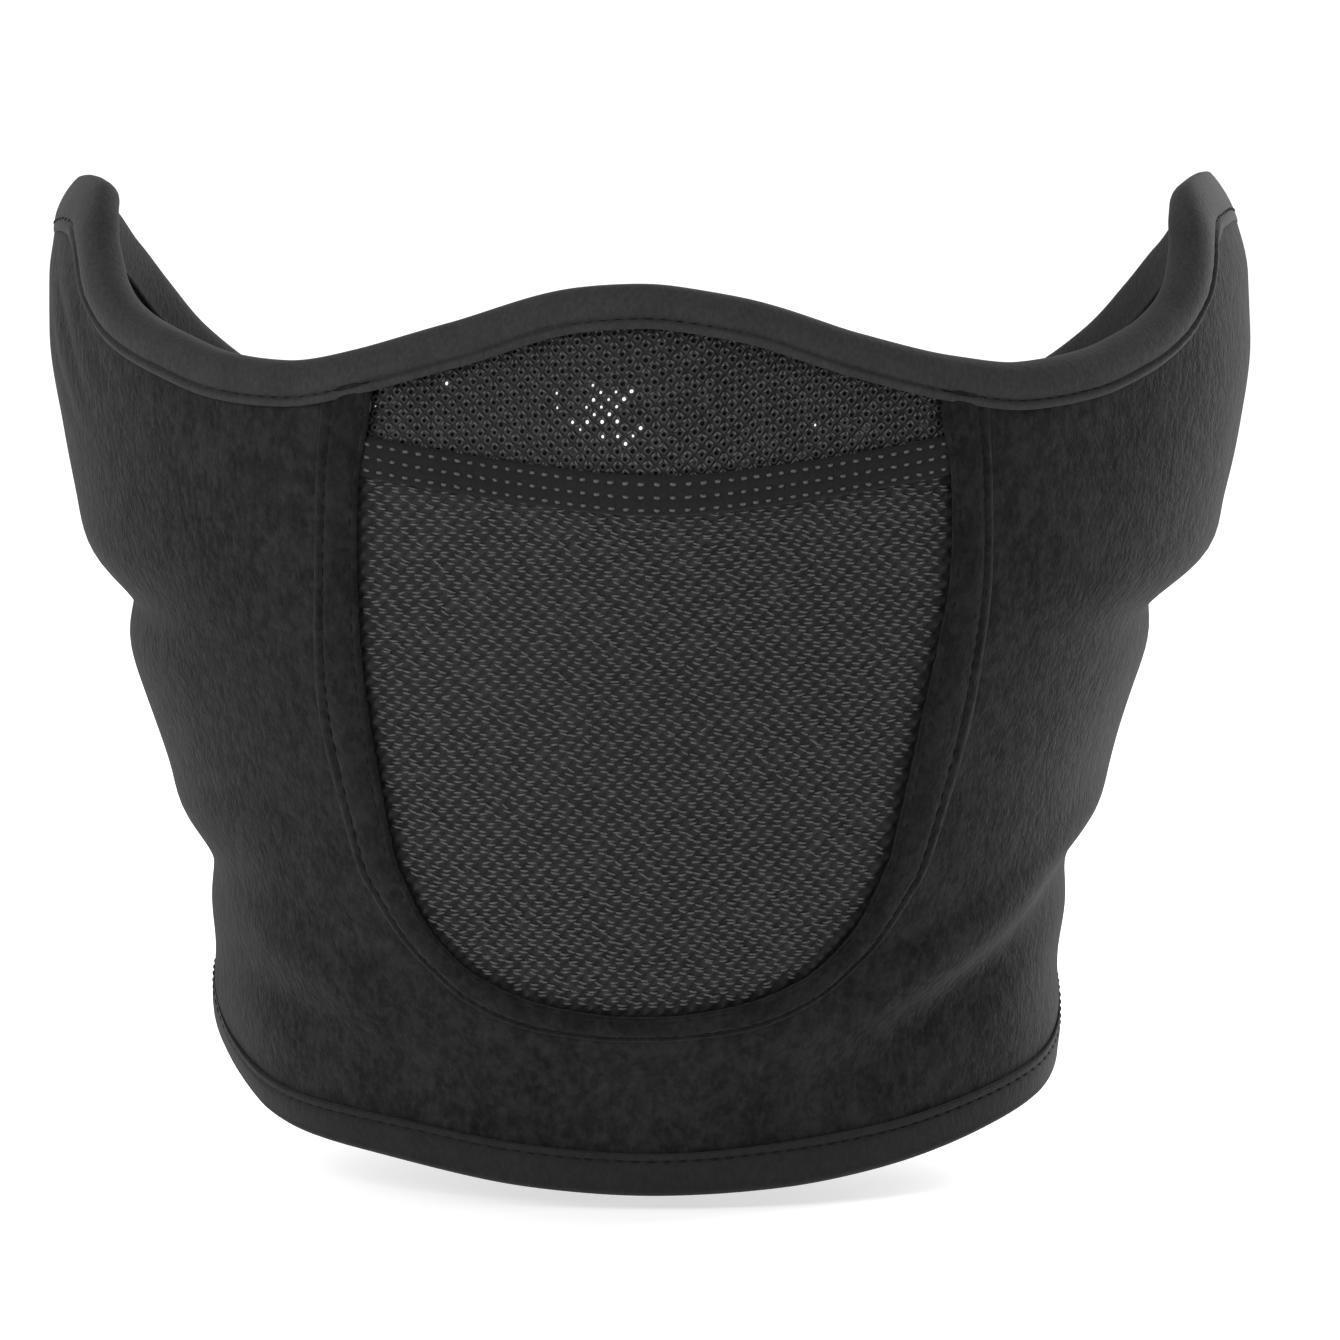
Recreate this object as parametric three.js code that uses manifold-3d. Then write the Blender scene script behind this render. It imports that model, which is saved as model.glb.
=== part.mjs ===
// Half-face fleece mask with ear covers, a mesh breathing window and a hook-and-loop closure behind
// the head. Millimetres. The face looks along -Y, +X is the wearer's left and +Z is up. The origin
// lies midway between the ear covers.
import * as THREE from "three";
import { mergeVertices } from "three/addons/utils/BufferGeometryUtils.js";
import Module from "manifold-3d";

const wasm = await Module();
wasm.setup();

const steps = (from, to, count) => (
  Array.from({ length: count + 1 }, (_, i) => from + ((to - from) * i) / count)
);

// ---- driving dimensions ----
const WIDTH_SCALE = 1; // scales every half-width
const DEPTH_SCALE = 1; // scales every depth
const HEM_DROP = 100; // the lowest point of the hem lies this far below the origin
// Each layer is [inner, outer], its two distances out from the inside face of the cloth.
const LAYER_GAP = 0.3;
const TRIM_GAP = 0.8; // trims bend tighter than the cloth below them, and keep a wider gap
const THREAD_GAP = 0.4;
const INSIDE_GAP = 1;
const stack = ([, below], gap, thick) => [below + gap, below + gap + thick];
const LINING = [0, 1.2];
const SHELL = stack(LINING, LAYER_GAP, 2.2);
const MESH = stack([0, SHELL[0]], 0.2, 1.3); // the mesh lies within the shell's thickness
const TAPE = stack(MESH, 0.5, 0.9);
const TAPE_STITCH = stack(TAPE, 0.5, 0.4);
const FACING = stack(SHELL, TRIM_GAP, 1.1);
const BINDING_OUTSIDE = stack(SHELL, TRIM_GAP, 1.3);
const BINDING_INSIDE = [-INSIDE_GAP - 1.1, -INSIDE_GAP];
const STITCH = stack(BINDING_OUTSIDE, THREAD_GAP, 0.5);
const LOOP_PATCH = stack(SHELL, 0.4, 1.4);
const HOOK_PATCH = stack(BINDING_OUTSIDE, 0.4, 0.8); // clears the end binding as the wings part
const TAB = stack(HOOK_PATCH, LAYER_GAP, 1.5);
const ANCHOR = [HOOK_PATCH[0], TAB[1]];
const BINDING_WIDTH = 5.8; // visible width of the top binding
const HEM_WIDTH = 6.2;
const END_WIDTH = 6; // of the binding on a wing's end
const END_GAP = 0.5; // from that binding to the ones above and below it
const EDGE_CAP = 1.6; // cloth of a binding beyond the edge it covers
const EDGE_GAP = 0.4;
const STITCH_WIDTH = 0.7;
const TOP_STITCH_AT = 4.4;
const HEM_STITCH_AT = 5;
const WINDOW_GAP = 0.3; // between the mesh panels and the cloth round them
const TAPE_WIDTH = 6.6;
const TAPE_CENTRE = 123.9; // height of the tape's middle line at the centre
const TAPE_RISE = 4; // how much higher it is at the window's sides
const SEAM_GAP = 0.3;
const PRISM_FROM = -160; // the window's cut runs between these two depths, through the front only
const PRISM_TO = -8;
const SQUARE_WITHIN = 9; // degrees over which a trim turns into the seam at its ends
// Facet edges of the front, degrees round from the nose, closer where the top edge turns up.
const FRONT_FACETS = [0, 8, 16, 24, 32, 40, 46, 50, 54, 58, 62, 66, 71, 77, 84, 92, 99.5];
// Facet edges from the lower edge (0) to the upper (1), closer at the creases and under bindings.
const CLOTH_HEIGHT = 158; // of the front, where the binding's lower edge crosses it
const FRONT_LEVELS = [0, 0.15, 0.21, 0.28, 0.4, 0.46, 0.515, 0.57, 0.7, 0.84,
  1 - BINDING_WIDTH / CLOTH_HEIGHT, 1];
const FACING_SPAN = [0.08, 1]; // of the way from the window's edge to the facing's outer edge
const FACING_STITCH_SPAN = [0.8, 0.9];
const PATCH_LEVELS = steps(0, 1, 3);
const WING_LEVELS = [0, 0.12, 0.32, 0.54, 0.72, 0.85, 0.93, 1];
const WINDOW_BEND = 60; // the window's outline turns in towards its bottom below this height
const TOP_OVER_FACING = 142; // just below the lowest point of the top edge above the facing
const FACING_TOP = TOP_OVER_FACING - BINDING_WIDTH; // the facing ends below the top binding
const HINGE_ANGLE = 107; // where the wings start, degrees round from the nose
const HINGE_GAP = 0.3; // degrees, half the gap at that seam
const WING_END = 177.2; // where a wing's cloth ends, degrees
const PATCH_LOW = 58;
const PATCH_HIGH = 96;
const TAB_REACH = 26; // degrees that the free tab covers past the middle of the back
const ANCHOR_REACH = 15; // degrees of the tab's sewn part
const TAB_GAP = 1.3; // degrees from the middle of the back to each half of the tab
const TAB_ROUND = 5; // how far the corners of the tab's free end are rounded off
const TAB_ROUND_SPAN = 3; // degrees
const LOOP_FROM = 172; // the patches' ends, degrees
const LOOP_TO = 156;
const TAPE_STITCH_PITCH = 2.1;
const TAPE_STITCH_INSET = 1.8; // from the window's sides to the ends of the tape's stitching
// The sheets that the window's panels are cut from end at these heights, outside the panels' edges.
const NOSE_LOW = 114;
const MOUTH_LOW = 28;
const MOUTH_HIGH = 140;

// Heights are measured from the lowest point of the hem.
// Half-width of the outer face, front depth and back depth at each height.
const HALF_WIDTH = [[0, 70.5], [22, 71.6], [45, 75], [60, 79], [80, 85.2], [95, 91.6], [111, 98], [125, 101],
  [140, 103], [150, 103], [158, 101.2], [163, 98.6], [169, 93.5]];
const FRONT_DEPTH = [[0, 70], [20, 74], [40, 82], [60, 89], [80, 92], [100, 93], [125, 94],
  [145, 92], [170, 86]];
const BACK_DEPTH = [[0, 84], [40, 87], [75, 92], [105, 94], [140, 93], [170, 90]];
const NOSE_RIDGE = [[90, 0], [110, 3], [132, 8], [150, 6], [165, 5]];
// Side creases under the ear and under the jaw: height, depth, half-height.
const CREASES = [[50, 2.4, 8], [95, 4.8, 7]];
// Height of the upper and lower edges, by degrees round from the nose.
const TOP_EDGE = [[0, 157.6], [8, 155.2], [20, 148.6], [30, 144.4], [38, 142.8], [46, 143], [54, 145],
  [60, 148.4], [64, 152.4], [68, 157.4], [72, 162], [77, 164.7], [83, 165.2], [91, 164.6], [100, 162.4],
  [110, 157.6], [117, 151], [123, 142.6], [129, 133.6], [136, 125.4], [143, 119.6], [150, 115.4],
  [163, 109.8], [180, 107]];
const LOW_EDGE = [[0, 1.6], [20, 3.2], [45, 8.6], [63, 12.2], [80, 17.2], [95, 23.5], [115, 32], [135, 40],
  [158, 46.5], [180, 48]];
// Half-width of the window's opening and of the facing's outer seam, by height.
const WINDOW = [[180, 46], [139, 46.4], [124, 48.2], [109, 48.2], [96, 46.8], [82.5, 44.6], [61.5, 40.6],
  [55.5, 38.6], [49, 35.6], [44.5, 32.4], [39.5, 27], [35.5, 18], [33.4, 7]];
const FACING_EDGE = [[180, 53], [139, 54.2], [124, 54.8], [108, 54.8], [93.5, 54], [79, 51.9],
  [58.5, 46.4], [52, 43.2], [45, 38.8], [40, 34.4], [34.5, 28], [30.6, 18.6], [29, 7]];

const rad = (degrees) => (degrees * Math.PI) / 180;

// Smooth curve through the listed points that doesn't overshoot them.
function curve(points) {
  const slope = points.slice(1).map(([x, y], i) => (y - points[i][1]) / (x - points[i][0]));
  const tangent = points.map((_, i) => {
    if (i === 0 || i === points.length - 1) return i ? slope[i - 1] : slope[0];
    const [a, b] = [slope[i - 1], slope[i]];
    return a * b <= 0 ? 0 : (2 * a * b) / (a + b);
  });
  return (x) => {
    let i = 0;
    while (i < points.length - 2 && x > points[i + 1][0]) i += 1;
    const [[x0, y0], [x1, y1]] = [points[i], points[i + 1]];
    const w = x1 - x0;
    const t = Math.min(1, Math.max(0, (x - x0) / w));
    return y0 * (1 + 2 * t) * (1 - t) ** 2 + tangent[i] * w * t * (1 - t) ** 2
      + y1 * t * t * (3 - 2 * t) + tangent[i + 1] * w * t * t * (t - 1);
  };
}

const halfWidth = curve(HALF_WIDTH);
const frontDepth = curve(FRONT_DEPTH);
const backDepth = curve(BACK_DEPTH);
const noseRidge = curve(NOSE_RIDGE);
const topCurve = curve(TOP_EDGE);
const lowCurve = curve(LOW_EDGE);
const topEdge = (angle) => topCurve(Math.abs(angle));
const lowEdge = (angle) => lowCurve(Math.abs(angle));

// The inside face of the lining, at an angle round from the nose and a height above the hem.
function insideFace(angle, height) {
  const side = Math.exp(-(((Math.abs(angle) - 88) / 26) ** 2));
  const dip = ([at, deep, half]) => deep * Math.exp(-(((height - at) / half) ** 2));
  const crease = CREASES.reduce((sum, entry) => sum + dip(entry), 0);
  const x = WIDTH_SCALE * (halfWidth(height) - crease * side) - SHELL[1];
  const front = frontDepth(height) + noseRidge(height) * Math.exp(-((angle / 11) ** 2));
  const y = DEPTH_SCALE * (Math.abs(angle) < 90 ? front : backDepth(height)) - SHELL[1];
  return new THREE.Vector3(x * Math.sin(rad(angle)), -y * Math.cos(rad(angle)), height - HEM_DROP);
}

function outward(angle, height) {
  const round = insideFace(angle + 0.5, height).sub(insideFace(angle - 0.5, height));
  const up = insideFace(angle, height + 0.5).sub(insideFace(angle, height - 0.5));
  return round.cross(up).normalize();
}

// A point of the cloth, some distance out from its inside face.
const cloth = (angle, height, out) => insideFace(angle, height).addScaledVector(outward(angle, height), out);

// A closed solid from rings of points: each ring joins to the next, and the ends are capped.
function rings(list, closed = false) {
  const n = list[0].length;
  const points = list.flat();
  const faces = [];
  const last = closed ? list.length : list.length - 1;
  for (let i = 0; i < last; i += 1) {
    for (let k = 0; k < n; k += 1) {
      const [a, b] = [i * n + k, i * n + ((k + 1) % n)];
      const [c, d] = [((i + 1) % list.length) * n + k, ((i + 1) % list.length) * n + ((k + 1) % n)];
      faces.push(a, c, b, b, c, d);
    }
  }
  if (!closed) {
    const cap = THREE.ShapeUtils.triangulateShape(flat(list[0]), []);
    cap.forEach(([a, b, c]) => faces.push(a, b, c));
    const end = (list.length - 1) * n;
    const cap2 = THREE.ShapeUtils.triangulateShape(flat(list[list.length - 1]), []);
    cap2.forEach(([a, b, c]) => faces.push(end + a, end + c, end + b));
  }
  return solid(points, faces);
}

// The points of a ring in the plane that fits it, for its caps.
function flat(ring) {
  const normal = new THREE.Vector3();
  ring.forEach((p, i) => {
    const q = ring[(i + 1) % ring.length];
    normal.add(new THREE.Vector3().crossVectors(p, q));
  });
  normal.normalize();
  const across = ring[1].clone().sub(ring[0]).normalize();
  const other = new THREE.Vector3().crossVectors(normal, across);
  return ring.map((p) => new THREE.Vector2(p.dot(across), p.dot(other)));
}

function solid(points, faces) {
  const vertProperties = new Float32Array(points.flatMap((p) => [p.x, p.y, p.z]));
  const triVerts = new Uint32Array(faces);
  let made = new wasm.Manifold(new wasm.Mesh({ numProp: 3, vertProperties, triVerts }));
  if (made.volume() < 0) {
    const turned = new Uint32Array(faces.length);
    for (let i = 0; i < faces.length; i += 3) turned.set([faces[i], faces[i + 2], faces[i + 1]], i);
    made = new wasm.Manifold(new wasm.Mesh({ numProp: 3, vertProperties, triVerts: turned }));
  }
  return made;
}

// A layer of cloth between two angles and two heights, as a closed solid.
function layer(angles, levels, low, high, [inner, outer]) {
  const rows = levels.length - 1;
  const columns = angles.map((angle) => {
    const at = levels.map((t) => low(angle) + (high(angle) - low(angle)) * t);
    return [...at.map((h) => cloth(angle, h, outer)), ...at.reverse().map((h) => cloth(angle, h, inner))];
  });
  const n = columns[0].length;
  const faces = [];
  const row = rows + 1;
  columns.slice(1).forEach((_, i) => {
    for (let k = 0; k < n; k += 1) {
      const [a, b, c, d] = [i * n + k, i * n + ((k + 1) % n), (i + 1) * n + k, (i + 1) * n + ((k + 1) % n)];
      faces.push(...(k < row ? [a, c, b, b, c, d] : [a, c, d, a, d, b]));
    }
  });
  [[0, false], [columns.length - 1, true]].forEach(([i, back]) => {
    for (let k = 0; k < rows; k += 1) {
      const [a, b, c, d] = [i * n + k, i * n + k + 1, i * n + 2 * row - 1 - k, i * n + 2 * row - 2 - k];
      faces.push(...(back ? [a, c, b, b, c, d] : [a, b, c, b, d, c]));
    }
  });
  return solid(columns.flat(), faces);
}

// Sweeps a section of [distance in from the edge, distance out from the inside face] along an edge.
function trim(path, section) {
  const list = path.map(([angle, height], i) => {
    const [a0, h0] = path[Math.max(0, i - 1)];
    const [a1, h1] = path[Math.min(path.length - 1, i + 1)];
    const reach = insideFace(angle + 0.5, height).distanceTo(insideFace(angle - 0.5, height));
    const along = new THREE.Vector2((a1 - a0) * reach, h1 - h0).normalize();
    // The section is square to the edge, and at both ends of the path it lies in the seam.
    const [first, last] = [path[0], path[path.length - 1]];
    const away = ([angleThere, heightThere]) => Math.hypot(angle - angleThere, height - heightThere);
    const square = Math.min(1, away(first) / SQUARE_WITHIN, away(last) / SQUARE_WITHIN);
    const upright = Math.abs(along.x) > 0.5;
    const round = along.y * (upright ? square : 1);
    const up = upright ? along.x * square + (1 - square) / along.x : along.x;
    return section.map(([inward, out]) => cloth(angle + (round * inward) / reach, height - up * inward, out));
  });
  return rings(list);
}

// A binding's U-shaped section, closed over the edge.
function binding(width) {
  const inward = EDGE_GAP + EDGE_CAP * 0.4;
  const [near, far] = BINDING_OUTSIDE;
  const [deep, close] = BINDING_INSIDE;
  return [[width / 2, near], [width, near], [width, far], [width / 2, far], [-inward, far],
    [-EDGE_GAP - EDGE_CAP, near], [-EDGE_GAP - EDGE_CAP, 0], [-inward, deep], [width / 2, deep],
    [width, deep], [width, close], [width / 2, close], [-EDGE_GAP, close], [-EDGE_GAP, near]];
}

function strip(at, [inner, outer], width) {
  return [[at, inner], [at, outer], [at + width, outer], [at + width, inner]];
}

// A prism along Y over an outline in the plane of x and height.
function prism(outline, from = PRISM_FROM, to = PRISM_TO) {
  const shape = new THREE.Shape(outline.map(([x, h]) => new THREE.Vector2(x, h - HEM_DROP)));
  const geometry = new THREE.ExtrudeGeometry(shape, { depth: to - from, bevelEnabled: false });
  geometry.rotateX(Math.PI / 2).translate(0, to, 0);
  geometry.deleteAttribute("normal");
  geometry.deleteAttribute("uv");
  const merged = mergeVertices(geometry, 1e-4);
  const position = merged.attributes.position;
  const point = (_, i) => new THREE.Vector3().fromBufferAttribute(position, i);
  const points = Array.from({ length: position.count }, point);
  return solid(points, Array.from(merged.index.array));
}

// The whole outline from its right half, and that half grown outwards.
function mirrored(half) {
  return [...half.map(([h, x]) => [x, h]), ...half.slice().reverse().map(([h, x]) => [-x, h])];
}
const grown = (half, by) => half.map(([h, x]) => [h - (h < WINDOW_BEND ? by : 0), x + by]);

const parts = [];
function add(name, body, colour) {
  const mesh = body.getMesh();
  const geometry = new THREE.BufferGeometry();
  geometry.setAttribute("position", new THREE.BufferAttribute(new Float32Array(mesh.vertProperties), 3));
  geometry.setIndex(new THREE.BufferAttribute(new Uint32Array(mesh.triVerts), 1));
  geometry.deleteAttribute("normal");
  geometry.deleteAttribute("uv");
  const material = new THREE.MeshStandardMaterial({ color: colour, roughness: 0.95 });
  const made = new THREE.Mesh(mergeVertices(geometry, 1e-3), material);
  made.name = name;
  parts.push(made);
}

const FLEECE = 0x2a2a2c;
const LINING_CLOTH = 0x1e1e20;
const KNIT = 0x39393b;
const TAPE_CLOTH = 0x1a1a1c;
const THREAD = 0x101012;
const NYLON = 0x161618;
const PANEL_ANGLES = steps(-40, 40, 16); // facet edges of the sheets that the window's panels are cut from

// ---- front: shell, lining, window ----
const halfAngles = [...FRONT_FACETS, HINGE_ANGLE - HINGE_GAP];
const frontAngles = [...halfAngles.slice(1).reverse().map((a) => -a), ...halfAngles];
const windowHole = prism(mirrored(WINDOW));
const windowFill = prism(mirrored(grown(WINDOW, -WINDOW_GAP)));
add("front_shell", layer(frontAngles, FRONT_LEVELS, lowEdge, topEdge, SHELL).subtract(windowHole), FLEECE);
const frontLining = layer(frontAngles, FRONT_LEVELS, lowEdge, topEdge, LINING);
add("front_lining", frontLining.subtract(windowHole), LINING_CLOTH);

// The angle of a point of the cloth in the window's region, from its distance to the middle line.
const angleAt = (x, height) => (Math.asin(x / (WIDTH_SCALE * halfWidth(height) - SHELL[1])) * 180) / Math.PI;
const ring = (half, [inner, outer], from, to) => half.map(([h, x], i) => {
  const [edgeH, edgeX] = FACING_EDGE[i];
  const ends = [from, to].map((t) => [x + (edgeX - x) * t, h + (edgeH - h) * t]);
  return [[0, inner], [0, outer], [1, outer], [1, inner]].map(([end, out]) => {
    const [across, height] = ends[end];
    const at = Math.min(height, FACING_TOP);
    return (side) => cloth(side * angleAt(across, at), at, out);
  });
});
// A band that follows the window's edge, between two shares of the facing's width.
function windowBand(thickness, from, to) {
  const half = ring(WINDOW, thickness, from, to).slice(1);
  const place = (side) => (section) => section.map((point) => point(side));
  return rings([...half.map(place(1)), ...half.slice().reverse().map(place(-1))]);
}
add("window_facing", windowBand(FACING, ...FACING_SPAN), FLEECE);
add("facing_stitch", windowBand(STITCH, ...FACING_STITCH_SPAN), THREAD);

const windowSide = WINDOW.slice().reverse();
const tapeMiddle = (x) => TAPE_CENTRE + TAPE_RISE * (x / 48) ** 2;
const across = steps(-60, 60, 12);
const band = (low, high) => prism([...across.map((x) => [x, tapeMiddle(x) + low]),
  ...across.slice().reverse().map((x) => [x, tapeMiddle(x) + high])]);
const nosePanel = layer(PANEL_ANGLES, steps(0, 1, 4), () => NOSE_LOW, topEdge, MESH);
const mouthPanel = layer(PANEL_ANGLES, steps(0, 1, 7), () => MOUTH_LOW, () => MOUTH_HIGH, MESH);
const aboveTape = band(SEAM_GAP / 2, 70);
const belowTape = band(-120, -SEAM_GAP / 2);
add("nose_mesh", nosePanel.intersect(windowFill).intersect(aboveTape), KNIT);
add("mouth_mesh", mouthPanel.intersect(windowFill).intersect(belowTape), KNIT);
const tapeSheet = layer(PANEL_ANGLES, steps(0, 1, 3), () => NOSE_LOW, () => MOUTH_HIGH, TAPE);
const tapeBand = band(-TAPE_WIDTH / 2, TAPE_WIDTH / 2);
add("mesh_join_tape", tapeSheet.intersect(windowFill).intersect(tapeBand), TAPE_CLOTH);

const tapeStitchEnd = angleAt(curve(windowSide)(TAPE_CENTRE) - TAPE_STITCH_INSET, TAPE_CENTRE);
for (const [name, row] of [["upper", 1], ["middle", 0], ["lower", -1]]) {
  const spots = steps(-tapeStitchEnd, tapeStitchEnd, 12);
  const line = spots.map((angle) => [angle, tapeMiddle(insideFace(angle, TAPE_CENTRE).x)]);
  const at = -row * TAPE_STITCH_PITCH - STITCH_WIDTH / 2;
  add(`tape_stitch_${name}`, trim(line, strip(at, TAPE_STITCH, STITCH_WIDTH)), THREAD);
}

// ---- bindings, hems and their stitching ----
const path = (angles, edge) => angles.map((angle) => [angle, edge(angle)]);
const turned = (list) => list.slice().reverse();
const frontTop = path(frontAngles, topEdge);
const frontLow = turned(path(frontAngles, lowEdge));
add("front_top_binding", trim(frontTop, binding(BINDING_WIDTH)), FLEECE);
add("front_top_stitch", trim(frontTop, strip(TOP_STITCH_AT, STITCH, STITCH_WIDTH)), THREAD);
add("front_hem", trim(frontLow, binding(HEM_WIDTH)), FLEECE);
add("front_hem_stitch", trim(frontLow, strip(HEM_STITCH_AT, STITCH, STITCH_WIDTH)), THREAD);

// ---- wings round the back of the head ----
for (const [name, side] of [["left", 1], ["right", -1]]) {
  const angles = steps(HINGE_ANGLE + HINGE_GAP, WING_END, 11).map((a) => a * side);
  const wide = [...angles, (WING_END + 0.6) * side];
  const ordered = side > 0 ? wide : turned(wide);
  add(`${name}_wing_shell`, layer(angles, WING_LEVELS, lowEdge, topEdge, SHELL), FLEECE);
  add(`${name}_wing_lining`, layer(angles, WING_LEVELS, lowEdge, topEdge, LINING), LINING_CLOTH);
  add(`${name}_wing_top_binding`, trim(path(ordered, topEdge), binding(BINDING_WIDTH)), FLEECE);
  add(`${name}_wing_hem`, trim(turned(path(ordered, lowEdge)), binding(HEM_WIDTH)), FLEECE);
  const [low, high] = [lowEdge(180) + HEM_WIDTH + END_GAP, topEdge(180) - BINDING_WIDTH - END_GAP];
  const end = steps(low, high, 6).map((h) => [WING_END * side, h]);
  add(`${name}_wing_end_binding`, trim(side > 0 ? turned(end) : end, binding(END_WIDTH)), FLEECE);
}

// ---- closure behind the head: the loop patch is on the left wing, the tab is sewn to the right wing ----
const LOOP_INSET = 2; // from the tab's upper and lower edges
const HOOK_INSET = 4;
const HOOK_SHIFT = -0.6; // degrees
const patchLow = (inset) => () => PATCH_LOW + inset;
const patchHigh = (inset) => () => PATCH_HIGH - inset;
const patchAngles = steps(LOOP_TO, LOOP_FROM, 4);
const hookAngles = patchAngles.map((a) => a + HOOK_SHIFT);
const patch = (angles, inset, depth) => (
  layer(angles, PATCH_LEVELS, patchLow(inset), patchHigh(inset), depth)
);
add("loop_patch", patch(patchAngles, LOOP_INSET, LOOP_PATCH), NYLON);
add("hook_patch", patch(hookAngles, HOOK_INSET, HOOK_PATCH), NYLON);
const rounded = (angle) => TAB_ROUND * Math.max(0, 1 - (angle - 180 + TAB_REACH) / TAB_ROUND_SPAN) ** 2;
const tabAngles = [0, 1, 2, TAB_ROUND_SPAN, 8, 13, 18, TAB_REACH - TAB_GAP].map((a) => 180 - TAB_REACH + a);
const tabLow = (angle) => PATCH_LOW + rounded(angle);
const tabHigh = (angle) => PATCH_HIGH - rounded(angle);
add("closure_tab", layer(tabAngles, PATCH_LEVELS, tabLow, tabHigh, TAB), FLEECE);
const anchorAngles = steps(-(180 - TAB_GAP), -(180 - ANCHOR_REACH), 4);
add("tab_anchor", patch(anchorAngles, 0, ANCHOR), FLEECE);

const built = new THREE.Group();
built.name = "face_mask";
parts.forEach((p) => built.add(p));
export default built;
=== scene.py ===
"""Half-face fleece mask: its cloth, mesh window, bindings, stitching and closure."""

import math

import bmesh
import bpy
import numpy as np
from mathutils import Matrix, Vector


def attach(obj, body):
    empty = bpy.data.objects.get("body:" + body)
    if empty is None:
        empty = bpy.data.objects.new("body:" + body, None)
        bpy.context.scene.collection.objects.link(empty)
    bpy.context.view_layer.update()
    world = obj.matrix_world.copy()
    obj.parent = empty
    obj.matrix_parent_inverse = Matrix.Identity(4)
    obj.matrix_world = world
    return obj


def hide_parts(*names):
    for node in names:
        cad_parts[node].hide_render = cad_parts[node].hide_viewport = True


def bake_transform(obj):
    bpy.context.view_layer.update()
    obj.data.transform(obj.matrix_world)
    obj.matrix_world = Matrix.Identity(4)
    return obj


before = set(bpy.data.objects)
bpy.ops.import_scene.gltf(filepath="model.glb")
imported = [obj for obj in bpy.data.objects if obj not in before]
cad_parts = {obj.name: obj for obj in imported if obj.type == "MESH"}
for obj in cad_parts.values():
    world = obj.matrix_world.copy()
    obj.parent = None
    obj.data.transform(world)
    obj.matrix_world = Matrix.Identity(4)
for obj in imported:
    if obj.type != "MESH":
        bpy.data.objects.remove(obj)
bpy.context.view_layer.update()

MM = 0.001
HEM_DROP = 100.0  # mm from the lowest point of the hem up to the origin
CLOTH = 3.7  # mm from the inside face of the lining to the outside of the fleece
FLEECE_BACK, LINING_OUT = 1.6, 1.15  # mm out from the inside face
PANEL_INSET = 0.6  # mm from the edge of the mask to the raw edge of its panels
WINDOW_INSET = 0.8  # mm from the mesh's visible outline to the raw edge of the front panel
SEAM = 107.0  # degrees round from the nose to the seam behind each ear
WING_END = 177.4
EAR_LEVEL = 3.72  # mm out from the inside face, where the bindings lie flat round the ears
EAR_STARTS, EAR_ENDS, EAR_FADE = 66, 140, 20  # degrees
LOOP_STITCH_OUT = 4.95  # mm out from the inside face

# The same driving sizes as the CAD part, in mm above the lowest point of the hem, and degrees.
HALF_WIDTH = [(0, 70.5), (22, 71.6), (45, 75), (60, 79), (80, 85.2), (95, 91.6), (111, 98),
              (125, 101), (140, 103), (150, 103), (158, 101.2), (163, 98.6), (169, 93.5)]
FRONT_DEPTH = [(0, 70), (20, 74), (40, 82), (60, 89), (80, 92), (100, 93), (125, 94), (145, 92),
               (170, 86)]
BACK_DEPTH = [(0, 84), (40, 87), (75, 92), (105, 94), (140, 93), (170, 90)]
NOSE_RIDGE = [(90, 0), (110, 3), (132, 8), (150, 6), (165, 5)]
CREASES = [(50, 2.4, 8), (95, 4.8, 7)]  # height, depth and half height
TOP_EDGE = [(0, 157.6), (8, 155.2), (20, 148.6), (30, 144.4), (38, 142.8), (46, 143), (54, 145),
            (60, 148.4), (64, 152.4), (68, 157.4), (72, 162), (77, 164.7), (83, 165.2), (91, 164.6),
            (100, 162.4), (110, 157.6), (117, 151), (123, 142.6), (129, 133.6), (136, 125.4),
            (143, 119.6), (150, 115.4), (163, 109.8), (180, 107)]
LOW_EDGE = [(0, 1.6), (20, 3.2), (45, 8.6), (63, 12.2), (80, 17.2), (95, 23.5), (115, 32),
            (135, 40), (158, 46.5), (180, 48)]
WINDOW = [(180, 46), (139, 46.4), (124, 48.2), (109, 48.2), (96, 46.8), (82.5, 44.6), (61.5, 40.6),
          (55.5, 38.6), (49, 35.6), (44.5, 32.4), (39.5, 27), (35.5, 18), (33.4, 7), (33.1, 0)]
FACING_EDGE = [(180, 53), (139, 54.2), (124, 54.8), (108, 54.8), (93.5, 54), (79, 51.9),
               (58.5, 46.4), (52, 43.2), (45, 38.8), (40, 34.4), (34.5, 28), (30.6, 18.6),
               (29, 7), (28.8, 0)]
TAPE_CENTRE, TAPE_RISE, TAPE_WIDTH = 123.9, 4.0, 6.6
TAPE_HALF_LENGTH = 49.0
TAPE_ROWS = (("upper", 0.32), ("middle", 0.0), ("lower", -0.32))  # shares of the tape's width
PAD_PITCH = (2.6, 2.75)  # the mouth mesh's repeat, across and up
NOSE_PITCH = 2.4
OPEN_HOLES_AT = (-8.5, 137)  # the middle of the few holes that are stretched open
BINDING_WIDTH, TOP_STITCH_AT = 5.8, 4.4
HEM_WIDTH, HEM_STITCH_AT = 6.2, 5.0
END_WIDTH, END_STITCH_AT = 6.0, 4.7
END_ABOVE_HEM, END_BELOW_TOP = 5.5, 7.0  # where each wing end's binding starts and stops
BINDING_OUT, TOP_ROW_OUT, HEM_ROW_OUT = 4.75, 4.4, 4.45  # mm out from the inside face
NET_OUT, PAD_RISE, NET_THICK = 2.0, 0.62, 0.6
MESH_OVERLAP = 0.6  # mm that each mesh runs past the tape's middle


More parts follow.
